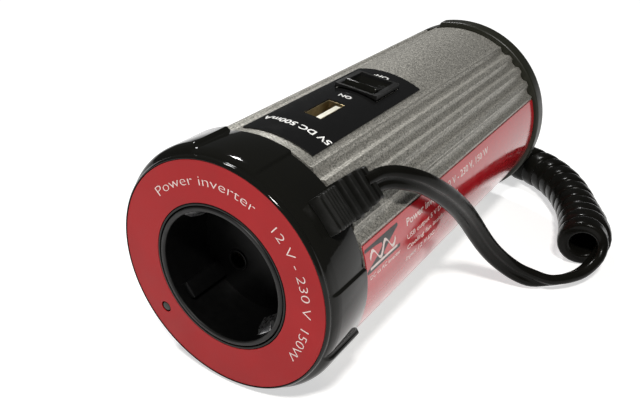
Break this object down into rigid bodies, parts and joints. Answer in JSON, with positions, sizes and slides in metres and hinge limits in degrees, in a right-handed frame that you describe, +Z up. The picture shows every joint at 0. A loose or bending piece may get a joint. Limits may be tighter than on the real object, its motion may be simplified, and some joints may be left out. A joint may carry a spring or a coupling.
{
  "type": "power inverter",
  "caption": "Can-shaped 12 V to 230 V power inverter lying on its side, with a mains socket, a USB socket, a rocker switch and a curly lead with a car plug.",
  "frame": {"origin": "under the middle of the housing, on the surface that it lies on", "axes": "+Y along the can from the socket end to the fan end, +Z up, +X towards the side with the red label"},
  "size_m": [0.1431, 0.192, 0.0742],
  "materials": {
    "housing_aluminium": "hammered silver-grey paint on an aluminium extrusion",
    "gloss_black": "moulded, glossy",
    "satin_black": "moulded, satin",
    "black_rubber": "soft PVC, slightly shiny",
    "red_label": "printed film, glossy",
    "panel_film": "printed film, high gloss",
    "steel": "nickel plated",
    "brass": "bare",
    "white_plastic": "moulded",
    "led_lens": "tinted clear lens, unlit",
    "circuit_board": "solder mask",
    "ferrite": "dull",
    "copper": "enamelled copper",
    "capacitor_sleeve": "shrink sleeve",
    "plain_aluminium": "mill finish",
    "glass": "clear"
  },
  "bodies": {
    "inverter": {"body_shell": "housing_aluminium", "front_cap": "gloss_black", "rear_cap": "gloss_black", "socket_cup": "satin_black", "switch_frame": "satin_black", "fan_frame": "satin_black", "plug_body": "satin_black", "cord_strain_relief": "black_rubber", "cord_lead": "black_rubber", "cord_coil": "black_rubber", "cord_tail": "black_rubber", "plug_boot": "black_rubber", "side_label": "red_label", "front_label": "red_label", "panel_label": "panel_film", "earth_clip_1": "steel", "earth_clip_2": "steel", "front_screw_1": "steel", "front_screw_2": "steel", "front_screw_3": "steel", "rear_screw_1": "steel", "rear_screw_2": "steel", "rear_screw_3": "steel", "rear_screw_4": "steel", "plug_nut": "steel", "socket_contact_1": "brass", "socket_contact_2": "brass", "usb_shell": "brass", "switch_terminal_1": "brass", "switch_terminal_2": "brass", "usb_tongue": "white_plastic", "status_led": "led_lens", "usb_board": "circuit_board", "main_board": "circuit_board", "transformer_core": "ferrite", "control_chip": "ferrite", "power_transistor_1": "ferrite", "power_transistor_2": "ferrite", "power_transistor_3": "ferrite", "power_transistor_4": "ferrite", "transformer_winding": "copper", "board_fuse": "copper", "input_choke": "copper", "input_capacitor_1": "capacitor_sleeve", "input_capacitor_2": "capacitor_sleeve", "output_capacitor": "capacitor_sleeve", "heat_bar_1": "plain_aluminium", "heat_bar_2": "plain_aluminium", "plug_fuse": "glass"},
    "rocker": {"switch_rocker": "gloss_black"},
    "fan": {"fan_rotor": "satin_black"},
    "plug_centre_contact": {"plug_tip": "brass"},
    "plug_left_contact": {"plug_contact_1": "steel"},
    "plug_right_contact": {"plug_contact_2": "steel"}
  },
  "joints": [
    {"name": "switch_rock", "type": "hinge", "parent": "inverter", "child": "rocker", "pos_m": [0.00442, -0.01075, 0.0693], "axis": [0.9912, 0, -0.1323], "range_deg": [0, 22]},
    {"name": "fan_spin", "type": "hinge", "parent": "inverter", "child": "fan", "pos_m": [0, 0.0665, 0.03619], "axis": [0, 1, 0], "continuous": true},
    {"name": "plug_tip_push", "type": "slide", "parent": "inverter", "child": "plug_centre_contact", "axis": [0, 1, 0], "range_m": [0, 0.004], "stiffness_N_per_m": 1500},
    {"name": "plug_left_contact_push", "type": "slide", "parent": "inverter", "child": "plug_left_contact", "axis": [1, 0, 0], "range_m": [0, 0.0016], "stiffness_N_per_m": 2000},
    {"name": "plug_right_contact_push", "type": "slide", "parent": "inverter", "child": "plug_right_contact", "axis": [-1, 0, 0], "range_m": [0, 0.0016], "stiffness_N_per_m": 2000}
  ]
}
